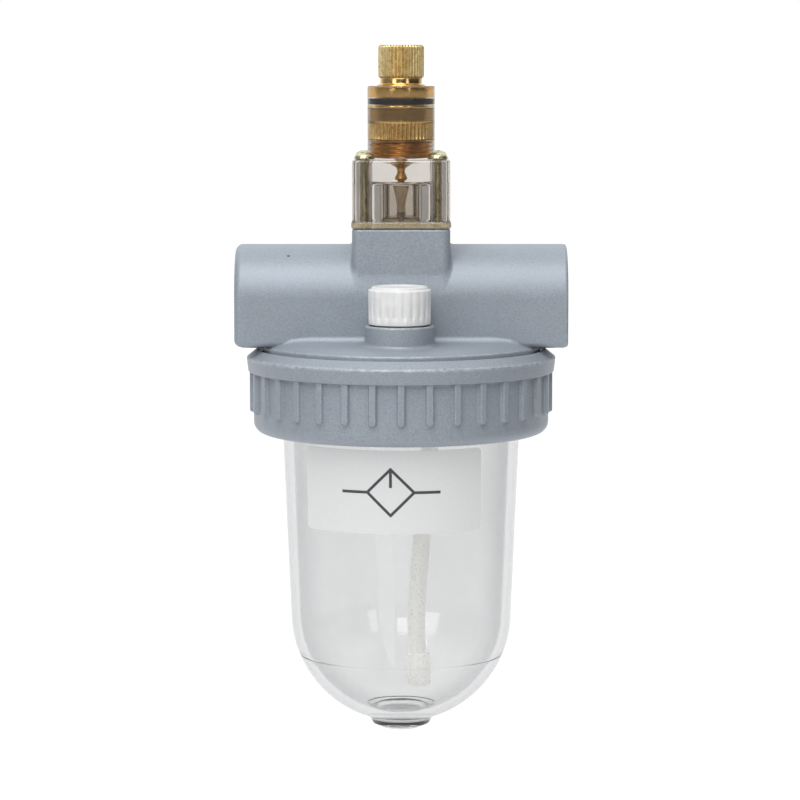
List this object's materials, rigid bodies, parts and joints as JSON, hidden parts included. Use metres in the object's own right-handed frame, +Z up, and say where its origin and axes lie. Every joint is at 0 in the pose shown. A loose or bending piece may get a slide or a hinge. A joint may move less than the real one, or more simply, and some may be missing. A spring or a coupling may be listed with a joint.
{
  "type": "compressed air lubricator",
  "caption": "In-line compressed-air oil-mist lubricator: threaded ports, needle valve in a clear sight dome, filler plug, ribbed ring nut and clear bowl.",
  "frame": {"origin": "where the port axis crosses the bowl axis, at the middle of the barrel", "axes": "+X along the air flow from inlet to outlet, +Z up along the bowl axis towards the needle-valve knob, -Y towards the filler plug"},
  "size_m": [0.09, 0.0844, 0.1874],
  "materials": {
    "cast_body": "metallic blue-grey paint on a casting, slightly grained",
    "brass": "machined and knurled",
    "ball_steel": "polished",
    "spring_steel": "drawn wire",
    "screw_steel": "yellow-passivated zinc",
    "clear_bowl": "clear polycarbonate",
    "smoked_dome": "clear plastic with a brown tint",
    "seal_rubber": "black nitrile rubber",
    "nylon": "translucent off-white",
    "white_plastic": "moulded, slightly glossy",
    "label_film": "pale satin film, blank"
  },
  "bodies": {
    "housing": {"body": "cast_body", "nozzle_post": "brass", "cutoff_seat": "brass", "cutoff_spring": "spring_steel", "siphon_adapter": "brass", "siphon_tube": "nylon", "siphon_strainer": "nylon", "sight_dome": "smoked_dome", "dome_gasket": "seal_rubber", "drip_funnel": "smoked_dome", "valve_insert": "brass", "dome_screw_1": "screw_steel", "dome_screw_2": "screw_steel", "dome_screw_3": "screw_steel", "dome_screw_4": "screw_steel"},
    "needle_seal": {"needle_o_ring": "seal_rubber"},
    "needle": {"needle_valve": "brass"},
    "plug_seal": {"filler_plug_o_ring": "seal_rubber"},
    "plug": {"filler_plug": "white_plastic"},
    "bowl_seal": {"bowl_gasket": "seal_rubber"},
    "bowl_cup": {"bowl": "clear_bowl", "label": "label_film"},
    "ring_nut": {"collar": "cast_body"},
    "cutoff": {"cutoff_ball": "ball_steel"},
    "check_valve": {"check_ball": "ball_steel"}
  },
  "joints": [
    {"name": "needle_rise", "type": "slide", "parent": "housing", "child": "needle_seal", "axis": [0, 0, 1], "range_m": [0, 0.0022]},
    {"name": "needle_turn", "type": "hinge", "parent": "needle_seal", "child": "needle", "pos_m": [0, 0, 0.06], "axis": [0, 0, 1], "range_deg": [0, 900]},
    {"name": "plug_rise", "type": "slide", "parent": "housing", "child": "plug_seal", "axis": [0, 0, 1], "range_m": [0, 0.009]},
    {"name": "plug_turn", "type": "hinge", "parent": "plug_seal", "child": "plug", "pos_m": [-0.0004, -0.0232, 0], "axis": [0, 0, 1], "range_deg": [0, 2160]},
    {"name": "bowl_removal", "type": "slide", "parent": "housing", "child": "bowl_seal", "axis": [0, 0, 1], "range_m": [-0.095, 0]},
    {"name": "bowl_lower", "type": "slide", "parent": "bowl_seal", "child": "bowl_cup", "axis": [0, 0, -1], "range_m": [0, 0.008]},
    {"name": "collar_turn", "type": "hinge", "parent": "bowl_cup", "child": "ring_nut", "pos_m": [0, 0, -0.026], "axis": [0, 0, -1], "range_deg": [0, 1440]},
    {"name": "cutoff_ball_travel", "type": "slide", "parent": "housing", "child": "cutoff", "axis": [0, 0, -1], "range_m": [0, 0.001], "stiffness_N_per_m": 40, "springref_m": -0.001, "deforming": ["cutoff_spring"]},
    {"name": "check_ball_lift", "type": "slide", "parent": "housing", "child": "check_valve", "axis": [0, 0, 1], "range_m": [0, 0.0012]}
  ],
  "couplings": [
    {"joint": "needle_rise", "follows": "needle_turn", "m_per_rad": 0.0001273},
    {"joint": "plug_rise", "follows": "plug_turn", "m_per_rad": 0.0002387},
    {"joint": "bowl_lower", "follows": "collar_turn", "m_per_rad": 0.0003183}
  ]
}
